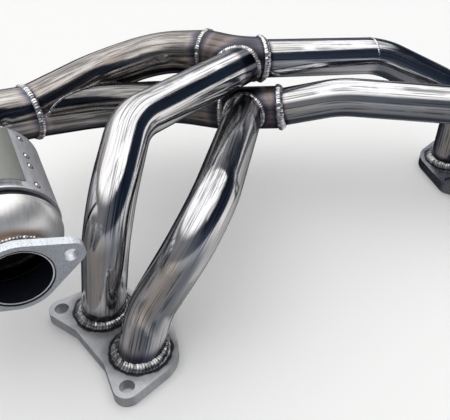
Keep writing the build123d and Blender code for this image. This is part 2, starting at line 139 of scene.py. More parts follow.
# ---- studio -------------------------------------------------------------------------------
# Headings run from 0 at -Y through -X, +Y and +X to 1 at -Y again.
# Heights are sines: 0 is the horizon, 1 straight up and -1 straight down.
CEILING = 1.75                  # brightness of the overhead light
CEILING_FROM = [(0.00, 0.68), (0.12, 0.60), (0.34, 0.50), (0.50, 0.44), (0.72, 0.50),
                (0.80, 0.72), (0.95, 0.74), (1.00, 0.68)]     # height where it starts, by heading
FRONT = 0.13                    # heading of the side that the picture is taken from
FRONT_REACH = (0.12, 0.26)      # the light's edge is soft this near to it, hard this far from it
CEILING_FADE = (0.05, 0.26)     # how far the hard and the soft edge spread in height
STRIP_PITCH = 0.26              # between the middle of a light strip and of the gap beside it
STRIP_GAP = 0.06                # half a gap's width, as a share of the distance between gaps
GAP_COLOUR = (0.22, 0.24, 0.27, 1)
STRIP_COLOUR = (1.0, 0.995, 0.98, 1)
WALLS = [(0.00, (0.040, 0.055, 0.085)), (0.08, (0.120, 0.135, 0.160)),
         (0.18, (0.220, 0.225, 0.235)), (0.32, (0.260, 0.260, 0.265)),
         (0.42, (0.300, 0.300, 0.310)), (0.50, (0.900, 0.900, 0.900)),
         (0.56, (1.200, 1.200, 1.190)), (0.61, (0.300, 0.310, 0.330)),
         (0.68, (0.020, 0.028, 0.045)), (0.90, (0.014, 0.024, 0.045)),
         (1.00, (0.040, 0.055, 0.085))]
GROUND = [(0.00, (0.200, 0.215, 0.245)), (0.10, (0.240, 0.245, 0.260)),
          (0.18, (0.290, 0.265, 0.240)), (0.27, (0.270, 0.245, 0.225)),
          (0.36, (0.200, 0.200, 0.205)), (0.46, (0.060, 0.065, 0.075)),
          (0.52, (0.012, 0.015, 0.022)), (0.64, (0.012, 0.015, 0.022)),
          (0.72, (0.500, 0.500, 0.500)), (0.86, (0.740, 0.730, 0.710)),
          (0.93, (0.480, 0.480, 0.490)), (1.00, (0.230, 0.245, 0.270))]
HORIZON = (0.00, 0.14)          # heights between which the ground turns into the walls
LIFT = (-0.45, 0.00, 1.0, 1.9)  # two heights, and how many times brighter the ground is at each
UNDER = (-0.97, -0.84)          # darker again straight down
UNDER_COLOUR = (0.05, 0.055, 0.07, 1)
LOWEST_ROW = 0.2                # height below which the light strips get no narrower
STAGE_AT = (0.2, 0.1, -0.0006)  # middle of the floor, a hair under the feet
COVE_START = 3.0                # distance from the middle where the floor curves up
COVE_R = 1.5                    # radius of that curve
COVE_STEPS = 16
WALL_HIGH = 6.0
WALL_SIDES = 96


def add_world():
    """Strips of white light overhead, walls by heading, and the ground that the steel mirrors."""
    world = bpy.data.worlds.new("studio")
    bpy.context.scene.world = world
    world.use_nodes = True
    tree = world.node_tree
    tree.nodes.clear()
    ray = put(tree, "TexCoord").outputs["Generated"]
    x, y, z = put(tree, "SeparateXYZ", {0: ray}).outputs
    heading = calc(tree, "ARCTAN2", x, y)
    turn = span(tree, heading, -math.pi, math.pi, smooth=False)
    walls, ground = ramp(tree, turn, WALLS), ramp(tree, turn, GROUND)
    ground = blend(tree, span(tree, z, *UNDER), UNDER_COLOUR, ground)
    ground = scaled(tree, ground, span(tree, z, *LIFT))
    row = calc(tree, "DIVIDE", y, calc(tree, "MAXIMUM", z, LOWEST_ROW))
    strip = calc(tree, "PINGPONG", row, STRIP_PITCH)
    strip = span(tree, strip, 0.0, STRIP_GAP * STRIP_PITCH * 2)
    light = scaled(tree, blend(tree, strip, GAP_COLOUR, STRIP_COLOUR), CEILING)
    aside = calc(tree, "ABSOLUTE", calc(tree, "SUBTRACT", turn, FRONT))
    fade = span(tree, aside, *FRONT_REACH, CEILING_FADE[1], CEILING_FADE[0])
    start = ramp(tree, turn, [(place, (level,) * 3) for place, level in CEILING_FROM])
    colour = blend(tree, span(tree, z, *HORIZON), ground, walls)
    colour = blend(tree, span(tree, z, start, calc(tree, "ADD", start, fade)), colour, light)
    back = put(tree, "Background", {"Color": colour})
    out = put(tree, "OutputWorld")
    tree.links.new(back.outputs[0], out.inputs[0])


def stage_paper():
    material = bpy.data.materials.new("floor_paper")
    material.use_nodes = True
    shader = material.node_tree.nodes["Principled BSDF"]
    shader.inputs["Base Color"].default_value = (0.90, 0.90, 0.90, 1.0)
    shader.inputs["Roughness"].default_value = 0.9
    return material


def add_stage(name, places, faces, material):
    mesh = bpy.data.meshes.new(name)
    mesh.from_pydata(places, [], faces)
    for polygon in mesh.polygons:
        polygon.use_smooth = True
    mesh.materials.append(material)
    piece = bpy.data.objects.new(name, mesh)
    piece.location = STAGE_AT
    bpy.context.scene.collection.objects.link(piece)
    piece.visible_glossy = False
    return piece


def add_floor(material):
    half = 2 * COVE_START
    add_stage("floor", [(-half, -half, 0), (half, -half, 0), (half, half, 0), (-half, half, 0)],
              [(0, 1, 2, 3)], material)


def add_backdrop(material):
    """Round wall that rises out of the floor in a cove; it holds back no light."""
    profile = [(COVE_START, 0.0)]
    for k in range(1, COVE_STEPS + 1):
        turn = math.pi / 2 * k / COVE_STEPS
        profile.append((COVE_START + COVE_R * math.sin(turn), COVE_R * (1 - math.cos(turn))))
    profile.append((COVE_START + COVE_R, WALL_HIGH))
    places, faces = [], []
    for side in range(WALL_SIDES):
        turn = 2 * math.pi * side / WALL_SIDES
        places += [(r * math.cos(turn), r * math.sin(turn), z) for r, z in profile]
        here, there = side * len(profile), (side + 1) % WALL_SIDES * len(profile)
        faces += [(here + k, here + k + 1, there + k + 1, there + k)
                  for k in range(len(profile) - 1)]
    wall = add_stage("backdrop", places, faces, material)
    wall.visible_diffuse = False
    wall.visible_shadow = False


add_world()
paper = stage_paper()
add_floor(paper)
add_backdrop(paper)
view = bpy.context.scene.view_settings
view.view_transform = "Standard"
view.look = "None"

# ---- centre lines, the same points and bend radii as the CAD source ------------------------
STEP = 1.0                      # millimetres between samples of a centre line
RUNNER_R = 21.35 * MM
TRUNK_R = 24.3 * MM
INLET_R = 27.0 * MM
OUTLET_R = 28.6 * MM
OUTLET_WALL = 1.5 * MM
SHELL_R = 51.0 * MM
PLATE = 12.0 * MM               # thickness of the head plates
UPPER_RIGHT = (274.6, 116.8, 167.6)
UPPER_LEFT = (238.4, 169.3, 168.0)
LOWER_RIGHT = (278.0, 83.5, 119.0)
LOWER_LEFT = (231.0, 129.6, 114.0)
RUNNER_3_SEAM = (403.0, 64.8, 152.8)
COLLECTOR = (26.0, 192.5, 154.0)
COLLECTOR_TOP = (26.0, 192.5, 156.7)
COLLECTOR_LOW = (26.0, 192.5, 151.3)
CAT_END = Vector((-72.7, 55.6, 132.9))      # outlet end of the heat shield
CAT_AXIS = Vector((-0.228, -0.950, -0.215)).normalized()
CONE_START = CAT_END - CAT_AXIS * 107
SHELL_START = CAT_END - CAT_AXIS * 80
OUTLET = Vector((-80.9, 2.5, 124.2))        # middle of the outlet face
OUTLET_AXIS = Vector((-0.257, -0.964, -0.061)).normalized()

ROUTES = {
    "runner_1": ([(0, 33, 12), (4.5, 9.3, 137.9), (75.9, 76.7, 176.9), (262, 122.4, 166.2)],
                 [67, 62]),
    "runner_2": ([(0, -33, 12), (18.3, -23.2, 43.5), (66.5, -51.7, 145.8), (250, 112, 116)],
                 [65, 58]),
    "runner_3": ([UPPER_RIGHT, (415, 60, 151.4), (497, -16.2, 100.4), (491, -17, 12)], [90, 60]),
    "runner_4": ([LOWER_RIGHT, (324, 37.5, 136), (452, -88, 130), (491, -83, 12)], [120, 62]),
    "upper": ([UPPER_RIGHT, (252, 127, 170), UPPER_LEFT], [50]),
    "lower": ([LOWER_RIGHT, LOWER_LEFT], []),
    "secondary_1": ([UPPER_LEFT, (208, 225.4, 156.5), (134.7, 240, 147.3), COLLECTOR_TOP],
                    [66, 110]),
    "secondary_2": ([LOWER_LEFT, (197, 184, 112.5), (106.7, 203.6, 128.5), COLLECTOR_LOW],
                    [70, 150]),
    "elbow": ([COLLECTOR, CAT_END - CAT_AXIS * 144, CONE_START], [44]),
    "converter": ([CAT_END - CAT_AXIS * 120, CAT_END + CAT_AXIS * 40], []),
    "outlet": ([OUTLET - OUTLET_AXIS * 40, OUTLET], []),
}
FEET = {"runner_1": (0, 33), "runner_2": (0, -33), "runner_3": (491, -17), "runner_4": (491, -83)}


class CentreLine:
    """A tube's centre line in metres, with its length, direction and a frame without twist."""

    def __init__(self, corners, radii):
        corners = [Vector(corner) for corner in corners]
        points = [corners[0]]
        for before, corner, after, radius in zip(corners, corners[1:], corners[2:], radii):
            points += self.bend(before, corner, after, radius)
        points.append(corners[-1])
        dense = [points[0]]
        for start, end in zip(points, points[1:]):
            count = max(1, math.ceil((end - start).length / STEP))
            dense += [start.lerp(end, k / count) for k in range(1, count + 1)]
        self.points = np.array(dense) * MM
        runs = np.diff(self.points, axis=0)
        lengths = np.linalg.norm(runs, axis=1)
        self.along = np.concatenate([[0.0], np.cumsum(lengths)])
        middle = runs / lengths[:, None]
        tangents = np.vstack([middle[:1], middle[1:] + middle[:-1], middle[-1:]])
        self.tangents = tangents / np.linalg.norm(tangents, axis=1)[:, None]
        self.carry_frame()

    @staticmethod
    def bend(before, corner, after, radius):
        """Points of the arc that rounds one corner."""
        come, leave = (before - corner).normalized(), (after - corner).normalized()
        turn = math.pi - come.angle(leave)
        reach = radius * math.tan(turn / 2)
        middle = corner + (come + leave).normalized() * (radius / math.cos(turn / 2))
        start = corner + come * reach - middle
        end = corner + leave * reach - middle
        count = max(2, math.ceil(radius * turn / STEP))
        arc = []
        for k in range(count + 1):
            share = k / count
            arc.append(middle + (start * math.sin((1 - share) * turn)
                                 + end * math.sin(share * turn)) / math.sin(turn))
        return arc

    def carry_frame(self):
        """Two directions across the tube at each point, carried along it without twist."""
        first = self.tangents[0]
        up = np.array((0.0, 0.0, 1.0)) if abs(first[2]) < 0.9 else np.array((0.0, 1.0, 0.0))
        side = np.cross(first, up)
        side /= np.linalg.norm(side)
        sides = []
        for tangent in self.tangents:
            side = side - tangent * side.dot(tangent)
            side /= np.linalg.norm(side)
            sides.append(side)
        self.sides = np.array(sides)
        self.ups = np.cross(self.tangents, self.sides)

    def nearest(self, places):
        """For each place: length along the line, and cosine and sine of the angle round it."""
        index = np.empty(len(places), int)
        for start in range(0, len(places), 2000):
            block = places[start:start + 2000]
            gaps = np.linalg.norm(block[:, None] - self.points[None], axis=2)
            index[start:start + 2000] = gaps.argmin(axis=1)
        offset = places - self.points[index]
        ahead = (offset * self.tangents[index]).sum(1)
        flat = offset - self.tangents[index] * ahead[:, None]
        across = (flat * self.sides[index]).sum(1)
        high = (flat * self.ups[index]).sum(1)
        reach = np.maximum(np.hypot(across, high), 1e-9)
        return self.along[index] + ahead, across / reach, high / reach

    def ring(self, index, angles, radius):
        """Points round the tube at one sample, or at one sample for each angle."""
        spread = (np.cos(angles)[:, None] * self.sides[index]
                  + np.sin(angles)[:, None] * self.ups[index])
        return self.points[index] + spread * radius


lines = {name: CentreLine(*route) for name, route in ROUTES.items()}


def mark(node, line):
    """Stores where each vertex is on its tube: (cosine, sine, length along in metres)."""
    mesh = nodes[node].data
    places = np.empty(len(mesh.vertices) * 3)
    mesh.vertices.foreach_get("co", places)
    along, cosine, sine = lines[line].nearest(places.reshape(-1, 3))
    attribute = mesh.attributes.new("tube", "FLOAT_VECTOR", "POINT")
    attribute.data.foreach_set("vector", np.stack([cosine, sine, along], 1).ravel())


TUBE_OF = {
    "runner_1": "runner_1", "runner_2": "runner_2", "runner_3_inner": "runner_3",
    "runner_3_outer": "runner_3", "runner_4": "runner_4", "upper_junction": "upper",
    "lower_junction": "lower", "secondary_pipe_1": "secondary_1",
    "secondary_pipe_2": "secondary_2", "inlet_elbow": "elbow", "inlet_cone": "converter",
    "converter_shell": "converter", "heat_shield_upper": "converter",
    "heat_shield_lower": "converter", "nameplate": "converter", "outlet_cone": "converter",
    "catalyst_brick": "converter", "support_mat": "converter", "outlet_pipe": "outlet",
}
for node, line in TUBE_OF.items():
    mark(node, line)


# ---- weld beads ---------------------------------------------------------------------------
AROUND = 720                    # samples along a closed bead
ACROSS = 12                     # and across it
RIPPLE = 2.7 * MM               # length of one weld ripple
LUMPS = (700.0, 263.0)          # radians per metre of the two waves that make a bead uneven
BED = 0.35 * MM                 # how far a bead's edges sink into the tubes
ROOT = 1.2 * MM                 # and its hidden underside
FOOT_TOE = 28.3 * MM            # radius of a foot weld on the head plate
FOOT_HIGH = 6.5 * MM
FOOT_SAMPLES = 60               # of a runner's centre line, enough to pass its foot weld
RADIUS = {name: TRUNK_R for name in ROUTES}
RADIUS.update({f"runner_{number}": RUNNER_R for number in (1, 2, 3, 4)})
angles = np.linspace(0.0, 2 * math.pi, AROUND, endpoint=False)


def unit(vectors):
    return vectors / np.maximum(np.linalg.norm(vectors, axis=-1, keepdims=True), 1e-12)


def ripple_height(position, across):
    """Overlapping crescents: height from 0 to 1 at a length along the bead and -1..1 across it.

    The product of sine and cosine gives each ripple its own fixed size.
    """
    phase = (position + 0.45 * RIPPLE * across ** 2) / RIPPLE
    order = np.floor(phase).astype(int)
    share = phase - order
    size = 0.75 + 0.25 * np.sin(order * 12.9898) * np.cos(order * 4.1414)
    return size * np.sin(math.pi * share ** 0.6) ** 0.8


def bead(name, edge_a, edge_b, out, high, closed=True, finish="weld", ripples=0.38):
    """Rippled weld bead between two edge curves, bulging along out by high metres.

    ripples is the height of the ripples as a share of high.
    """
    middle = (edge_a + edge_b) / 2
    steps = np.linalg.norm(np.diff(middle, axis=0), axis=1)
    along = np.concatenate([[0.0], np.cumsum(steps)])
    wobble = 1 + 0.22 * np.sin(along * LUMPS[0]) * np.sin(along * LUMPS[1] + 1)
    rows, crest = [], []
    for across in np.linspace(-1.0, 1.0, ACROSS + 1):
        ripple = ripple_height(along, across)
        base = middle + (edge_b - edge_a) / 2 * across * (0.92 + 0.4 * (wobble - 1))[:, None]
        bulge = high * (1 - across ** 2) ** 0.8 * wobble * (0.91 + ripples * (ripple - 0.5))
        rows.append(base + out * bulge[:, None])
        crest.append(ripple)
    rows.append(middle - out * ROOT)
    crest.append(np.zeros(len(middle)))
    across_count, count = len(rows), len(middle)
    places = np.stack(rows, 1).reshape(-1, 3)
    faces = []
    for i in range(count if closed else count - 1):
        here, there = i * across_count, (i + 1) % count * across_count
        for j in range(across_count):
            k = (j + 1) % across_count
            faces.append((here + j, there + j, there + k, here + k))
    if not closed:
        last = (count - 1) * across_count
        faces.append(tuple(range(across_count)))
        faces.append(tuple(last + j for j in reversed(range(across_count))))
    mesh = bpy.data.meshes.new(name)
    mesh.from_pydata(places.tolist(), [], faces)
    for polygon in mesh.polygons:
        polygon.use_smooth = True
    attribute = mesh.attributes.new("crest", "FLOAT", "POINT")
    attribute.data.foreach_set("value", np.stack(crest, 1).ravel())
    mesh.materials.append(materials[finish])
    piece = bpy.data.objects.new(name, mesh)
    bpy.context.scene.collection.objects.link(piece)
    turn_outward(mesh)
    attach(piece, "root")
    return piece


def turn_outward(mesh):
    """Makes all faces of a closed mesh look out."""
    shell = bmesh.new()
    shell.from_mesh(mesh)
    bmesh.ops.recalc_face_normals(shell, faces=shell.faces)
    shell.to_mesh(mesh)
    shell.free()


def ring_edges(centre, normal, radius_a, radius_b, half_width):
    """Edge curves of a ring weld, edge a on the side that normal comes from."""
    normal = np.array(Vector(normal).normalized())
    side = unit(np.cross(normal, (0.0, 0.0, 1.0) if abs(normal[2]) < 0.9 else (0.0, 1.0, 0.0)))
    up = np.cross(normal, side)
    out = np.cos(angles)[:, None] * side + np.sin(angles)[:, None] * up
    centre = np.array(centre) * MM
    edge_a = centre - normal * half_width + out * (radius_a - BED)
    edge_b = centre + normal * half_width + out * (radius_b - BED)
    return edge_a, edge_b, out


def meeting(branch, trunk):
    """Where each line along the branch's surface first meets the trunk's surface.

    Looks along the branch's second half. Gives the surface points, the branch's direction there
    and whether they meet at all.
    """
    line, other = lines[branch], lines[trunk]
    order = np.arange(len(line.points) // 2, len(line.points))
    gaps = np.empty((AROUND, len(order)))
    for column, index in enumerate(order):
        ring = line.ring(index, angles, RADIUS[branch])
        gaps[:, column] = np.linalg.norm(ring[:, None] - other.points[None], axis=2).min(1)
    inside = gaps < TRUNK_R
    first = np.maximum(inside.argmax(axis=1), 1)
    rows = np.arange(AROUND)
    share = (gaps[rows, first - 1] - TRUNK_R) / (gaps[rows, first - 1] - gaps[rows, first])
    share = np.clip(np.nan_to_num(share), 0, 1)[:, None]
    before, after = order[first - 1], order[first]
    start = line.ring(before, angles, RADIUS[branch])
    end = line.ring(after, angles, RADIUS[branch])
    return start + (end - start) * share, line.tangents[before], inside.any(axis=1)


def nearest_index(places, line):
    return np.linalg.norm(places[:, None] - line.points[None], axis=2).argmin(1)


def along_part(vectors, directions):
    """The part of each vector that lies along its unit direction."""
    return directions * (vectors * directions).sum(1, keepdims=True)


def saddle_edges(branch, trunk, leg):
    """Edge curves of the weld where a branch tube runs into a trunk tube."""
    corner, heading, meets = meeting(branch, trunk)
    line, other = lines[branch], lines[trunk]
    trunk_out = unit(corner - other.points[nearest_index(corner, other)])
    branch_out = unit(corner - line.points[nearest_index(corner, line)])
    edge_a = corner - heading * leg - branch_out * BED
    reach = corner + unit(branch_out - along_part(branch_out, trunk_out)) * leg
    near = nearest_index(reach, other)
    offset = reach - other.points[near]
    ahead = along_part(offset, other.tangents[near])
    edge_b = other.points[near] + unit(offset - ahead) * (TRUNK_R - BED) + ahead
    return edge_a, edge_b, unit(trunk_out + branch_out), meets


def level_ring(runner, height):
    """Where the lines along a runner's surface pass a level near its foot."""
    line = lines[runner]
    order = np.arange(len(line.points))
    order = order if line.points[0][2] < line.points[-1][2] else order[::-1]
    order = order[:FOOT_SAMPLES]
    levels = np.stack([line.ring(index, angles, RUNNER_R)[:, 2] for index in order], 1)
    above = levels >= height
    here = order[np.where(above.any(1), above.argmax(1), len(order) - 1)]
    points = line.ring(here, angles, RUNNER_R - BED)
    slide = (height - points[:, 2]) / line.tangents[here, 2]
    return points + line.tangents[here] * slide[:, None]


def foot_edges(runner):
    """Edge curves of the fillet weld between a head plate and a runner's foot."""
    edge_b = level_ring(runner, PLATE + FOOT_HIGH)
    middle = np.array((*FEET[runner], 0.0)) * MM
    spoke = edge_b - middle
    spoke[:, 2] = 0
    edge_a = middle + unit(spoke) * FOOT_TOE
    edge_a[:, 2] = PLATE - BED / 2
    return edge_a, edge_b, unit(unit(spoke) + np.array((0.0, 0.0, 1.0)))


# ---- materials ----------------------------------------------------------------------------
CELL = 1.6 * MM                 # pitch of the brick's channels
RING_TOE = 4.2 * MM             # about half the width of a ring weld
SADDLE_TOE = 2.4 * MM           # a little less than the leg of a saddle weld
BURNT = (0.025, 0.025, 0.03)
# temper colours from the weld outwards, by share of their reach
HEAT = [(0.00, (0.030, 0.030, 0.040)), (0.20, (0.06, 0.07, 0.11)), (0.38, (0.16, 0.14, 0.20)),
        (0.55, (0.36, 0.28, 0.25)), (0.78, (0.50, 0.42, 0.33)), (1.00, (0.60, 0.55, 0.48))]
materials = {}


def start_material(name, metallic=1.0):
    material = bpy.data.materials.new(name)
    material.use_nodes = True
    tree = material.node_tree
    tree.nodes.clear()
    shader = put(tree, "BsdfPrincipled", {"Metallic": metallic})
    out = put(tree, "OutputMaterial")
    tree.links.new(shader.outputs[0], out.inputs[0])
    materials[name] = material
    return material, tree, shader


def finish_with(tree, shader, colour, rough=None, height=None, strength=0.5, depth=0.2 * MM):
    """Gives the shader its colour and, where given, its roughness and a bump of that height."""
    tree.links.new(colour, shader.inputs["Base Color"])
    if rough:
        tree.links.new(rough, shader.inputs["Roughness"])
    if height:
        bump = put(tree, "Bump", {"Height": height, "Strength": strength, "Distance": depth})
        tree.links.new(bump.outputs[0], shader.inputs["Normal"])


def object_place(tree):
    return put(tree, "TexCoord").outputs["Object"]


def along_axis(tree, place, axis):
    return vector(tree, "DOT_PRODUCT", place, tuple(axis), out=1)


def facing(tree, axis):
    """How squarely a face looks along the axis, either way: 0 to 1."""
    normal = put(tree, "NewGeometry").outputs["Normal"]
    return calc(tree, "ABSOLUTE", along_axis(tree, normal, axis))


def from_ring(tree, place, centre, radius):
    """Distance along a tube from the toe of the ring weld of that radius round centre."""
    reach = vector(tree, "DISTANCE", place, tuple(part * MM for part in centre), out=1)
    square = calc(tree, "SUBTRACT", calc(tree, "MULTIPLY", reach, reach), radius * radius)
    along = calc(tree, "SQRT", calc(tree, "MAXIMUM", square, 0.0))
    return calc(tree, "MAXIMUM", calc(tree, "SUBTRACT", along, RING_TOE), 0.0)


def from_tube(tree, place, start, end, radius):
    """Distance from the toe of a saddle weld; the trunk's axis runs through start and end."""
    start, end = Vector(start) * MM, Vector(end) * MM
    offset = vector(tree, "SUBTRACT", place, tuple(start))
    cross = vector(tree, "CROSS_PRODUCT", offset, tuple((end - start).normalized()))
    reach = vector(tree, "LENGTH", cross, out=1)
    return calc(tree, "MAXIMUM", calc(tree, "SUBTRACT", reach, radius + SADDLE_TOE), 0.0)


def from_level(tree, place, level):
    """Height above a level."""
    high = put(tree, "SeparateXYZ", {0: place}).outputs[2]
    return calc(tree, "MAXIMUM", calc(tree, "SUBTRACT", high, level), 0.0)


def from_plane(tree, place, centre, normal):
    """Distance from a plane."""
    offset = vector(tree, "SUBTRACT", place, tuple(part * MM for part in centre))
    return calc(tree, "ABSOLUTE", along_axis(tree, offset, normal))


DISTANCE_TO = {"ring": from_ring, "tube": from_tube, "level": from_level, "plane": from_plane}


def add_heat(tree, colour, heat, reach, strength, unevenness):
    """Temper colours that fade away from the nearest of the welds in heat, over reach metres."""
    place = object_place(tree)
    nearest = 1.0
    for kind, *values in heat:
        nearest = calc(tree, "MINIMUM", nearest, DISTANCE_TO[kind](tree, place, *values))
    sway = calc(tree, "MULTIPLY", calc(tree, "SUBTRACT", unevenness, 0.5), reach * 0.8)
    shifted = calc(tree, "ADD", nearest, sway)
    tint = ramp(tree, calc(tree, "DIVIDE", shifted, reach), HEAT)
    return blend(tree, span(tree, shifted, 0.0, reach, strength, 0.0), colour, tint)


def tube_place(tree, radius, run):
    """Coordinates on a tube in metres, drawn out along it; run shrinks the lengthwise part."""
    place = put(tree, "Attribute", attribute_name="tube").outputs["Vector"]
    return vector(tree, "MULTIPLY", place, (radius, radius, run))


def tube_steel(name, tone, rough, radius, heat, reach=12 * MM, strength=0.9, warm=0.3,
               dim=0.80):
    """Drawn tube: dark die lines and soft streaks along it, with temper colours at the welds.

    heat lists ("ring", centre, radius), ("tube", start, end, radius), ("level", height) and
    ("plane", centre, normal). The streaks are dim times as bright as the tone; a low dim makes them
    painted reflections, light and dark bands along the tube. warm is the most that rusty clouds
    cover.
    """
    material, tree, shader = start_material(name)
    fine = noise(tree, tube_place(tree, radius, 0.03), 2300.0, 2.0)
    die = noise(tree, tube_place(tree, radius, 0.012), 230.0, 2.0, 0.6)
    broad = noise(tree, tube_place(tree, radius, 0.05), 520.0, 2.0)
    cloud = noise(tree, tube_place(tree, radius, 0.4), 38.0, 3.0)
    patch = noise(tree, tube_place(tree, radius, 0.35), 90.0, 2.0)
    streak = noise(tree, tube_place(tree, radius, 0.02), 190.0, 3.0, 0.6)
    # streaks between dim times the tone and the tone: grain, and painted reflections where dim is
    # low
    colour = blend(tree, span(tree, mean(tree, 0.4, streak, broad), 0.38, 0.62),
                   tinted(tone, dim), tinted(tone))
    rusty = (tone[0] * 0.80, tone[1] * 0.70, tone[2] * 0.60, 1.0)
    colour = blend(tree, span(tree, cloud, 0.45, 0.75, 0.0, warm), colour, rusty)
    gap = calc(tree, "ABSOLUTE", calc(tree, "SUBTRACT", die, 0.5))
    line = calc(tree, "MULTIPLY", span(tree, gap, 0.010, 0.050, 0.85, 0.0),
                span(tree, patch, 0.35, 0.55))
    colour = blend(tree, line, colour, tinted(tone, 0.22))
    colour = add_heat(tree, colour, heat, reach, strength, cloud)
    gloss = calc(tree, "ADD", span(tree, fine, 0.3, 0.7, rough, rough + 0.06),
                 span(tree, cloud, 0.4, 0.7, 0.0, 0.05))
    finish_with(tree, shader, colour, gloss)
    fine_bump = put(tree, "Bump", {"Height": broad, "Strength": 0.30, "Distance": 0.15 * MM})
    wave = noise(tree, tube_place(tree, radius, 0.25), 30.0, 1.0)
    wave_bump = put(tree, "Bump", {"Height": wave, "Strength": 0.35, "Distance": 0.6 * MM,
                                   "Normal": fine_bump.outputs[0]})
    tree.links.new(wave_bump.outputs[0], shader.inputs["Normal"])
    return material


def weld_steel(name, low, high):
    """Weld metal, darker in the valleys between ripples, with tiny specks."""
    _, tree, shader = start_material(name)
    crest = put(tree, "Attribute", attribute_name="crest").outputs["Fac"]
    place = object_place(tree)
    specks = noise(tree, place, 1500.0, 3.0)
    patches = noise(tree, place, 150.0, 2.0)
    middle = [(a + b) / 2 for a, b in zip(low, high)]
    colour = ramp(tree, crest, [(0.10, low), (0.45, middle), (0.85, high)])
    colour = blend(tree, span(tree, patches, 0.45, 0.65, 0.0, 0.75), colour, tinted(low))
    finish_with(tree, shader, colour, span(tree, specks, 0.3, 0.7, 0.14, 0.34), specks)


def plate_steel(name, tone, rough, axis, rings=(), edge_tone=0.8, metal=0.6):
    """Cut plate: speckled faces, faint cut lines across its edges, dark rings at its welds: burnt
    lines and dark joints, and wide soft rings of painted shade.

    axis is the plate's thickness direction; rings lists (centre, inner radius, outer radius,
    fade, strength), dark between the radii and fading out over the length fade.
    """
    material, tree, shader = start_material(name, metal)
    place = object_place(tree)
    speck = noise(tree, place, 1100.0, 4.0, 0.7)
    cloud = noise(tree, place, 70.0, 3.0)
    axial = scaled(tree, tuple(axis), along_axis(tree, place, axis))
    cut = noise(tree, vector(tree, "SUBTRACT", place, axial), 1300.0, 2.0)
    flat = span(tree, facing(tree, axis), 0.55, 0.9)
    face = blend(tree, span(tree, speck, 0.35, 0.65), tinted(tone, 0.78), tinted(tone))
    face = blend(tree, span(tree, cloud, 0.4, 0.7, 0.0, 0.35), face, tinted(tone, 0.70))
    edge = blend(tree, span(tree, mean(tree, 0.35, speck, cut), 0.38, 0.62),
                 tinted(tone, 0.72 * edge_tone), tinted(tone, edge_tone))
    colour = blend(tree, flat, edge, face)
    # each ring darkens the plate: narrow ones are burnt lines and dark joints, wide soft ones
    # painted shade
    for centre, inner, outer, fade, strength in rings:
        reach = vector(tree, "DISTANCE", place, tuple(centre), out=1)
        sway = min(0.7 * fade, 2.5 * MM)
        ragged = calc(tree, "ADD", reach, span(tree, cloud, 0.3, 0.7, -sway, sway))
        dark = calc(tree, "MINIMUM", span(tree, reach, inner - 0.3 * MM, inner),
                    span(tree, ragged, outer, outer + fade, strength, 0.0))
        colour = blend(tree, dark, colour, tinted(BURNT))
    finish_with(tree, shader, colour, span(tree, speck, 0.3, 0.7, rough - 0.05, rough + 0.1),
                mean(tree, flat, cut, speck), 0.45, 0.18 * MM)
    return material


def sheet_steel(name, tone, rough, bands=(), shadow_spots=(), grain=0.15, contrast=0.85):
    """Satin sheet of the converter, lightly brushed along it.

    bands lists (from, to, fade, colour) along the converter from CAT_END, spots lists (centre,
    radius): painted shadow rims round rivet heads. Faces that look inward get painted shade.
    """
    material, tree, shader = start_material(name, 0.7)
    brushed = noise(tree, tube_place(tree, SHELL_R, grain), 700.0, 3.0)
    broad = noise(tree, tube_place(tree, SHELL_R, 0.3), 60.0, 3.0)
    speck = noise(tree, object_place(tree), 1300.0, 3.0)
    dark = tinted(tone, contrast)
    colour = blend(tree, span(tree, brushed, 0.35, 0.65), dark, tinted(tone))
    colour = blend(tree, span(tree, broad, 0.4, 0.75, 0.0, 0.3), colour, dark)
    place = object_place(tree)
    offset = vector(tree, "SUBTRACT", place, tuple(CAT_END * MM))
    along = along_axis(tree, offset, CAT_AXIS)
    for low, high, fade, tint in bands:
        inside = calc(tree, "MINIMUM", span(tree, along, low - fade, low),
                      span(tree, along, high, high + fade, 1.0, 0.0))
        colour = blend(tree, inside, colour, tinted(tint))
    # painted shade: faces that look in towards the converter's axis are painted near black
    spoke = vector(tree, "SUBTRACT", offset, scaled(tree, tuple(CAT_AXIS), along))
    normal = put(tree, "NewGeometry").outputs["Normal"]
    outward = vector(tree, "DOT_PRODUCT", normal, spoke, out=1)
    colour = blend(tree, span(tree, outward, -4 * MM, -1 * MM, 1.0, 0.0), colour,
                   (0.03, 0.03, 0.035, 1))
    # painted shadow: a dark rim round each rivet head
    for centre, radius in shadow_spots:
        reach = vector(tree, "DISTANCE", place, tuple(centre), out=1)
        colour = blend(tree, span(tree, reach, radius * 1.15, radius * 1.6, 1.0, 0.0), colour,
                       (0.05, 0.05, 0.06, 1))
    finish_with(tree, shader, colour, span(tree, brushed, 0.3, 0.7, rough - 0.04, rough + 0.08),
                calc(tree, "ADD", brushed, speck), 0.35, 0.15 * MM)
    return material


def pipe_steel():
    """Outlet pipe: turned rim painted near white as a highlight, painted shade in the bore."""
    material, tree, shader = start_material("outlet_pipe_steel", 0.2)
    place = object_place(tree)
    offset = vector(tree, "SUBTRACT", place, tuple(OUTLET * MM))
    radius = vector(tree, "LENGTH", vector(tree, "CROSS_PRODUCT", offset, tuple(OUTLET_AXIS)),
                    out=1)
    # painted shade: the bore is painted near black, slightly mottled
    bore_shade_mottle = noise(tree, place, 300.0, 4.0)
    inner = blend(tree, bore_shade_mottle, (0.004, 0.006, 0.012, 1), (0.016, 0.020, 0.036, 1))
    bore_r = OUTLET_R - OUTLET_WALL
    bore = span(tree, radius, bore_r + 0.15 * MM, bore_r + 0.40 * MM, 1.0, 0.0)
    # outside the bore the rim is painted near white: a painted highlight
    finish_with(tree, shader, blend(tree, bore, (0.95, 0.95, 0.94, 1), inner),
                span(tree, bore, 0.0, 1.0, 0.22, 0.5))
    return material


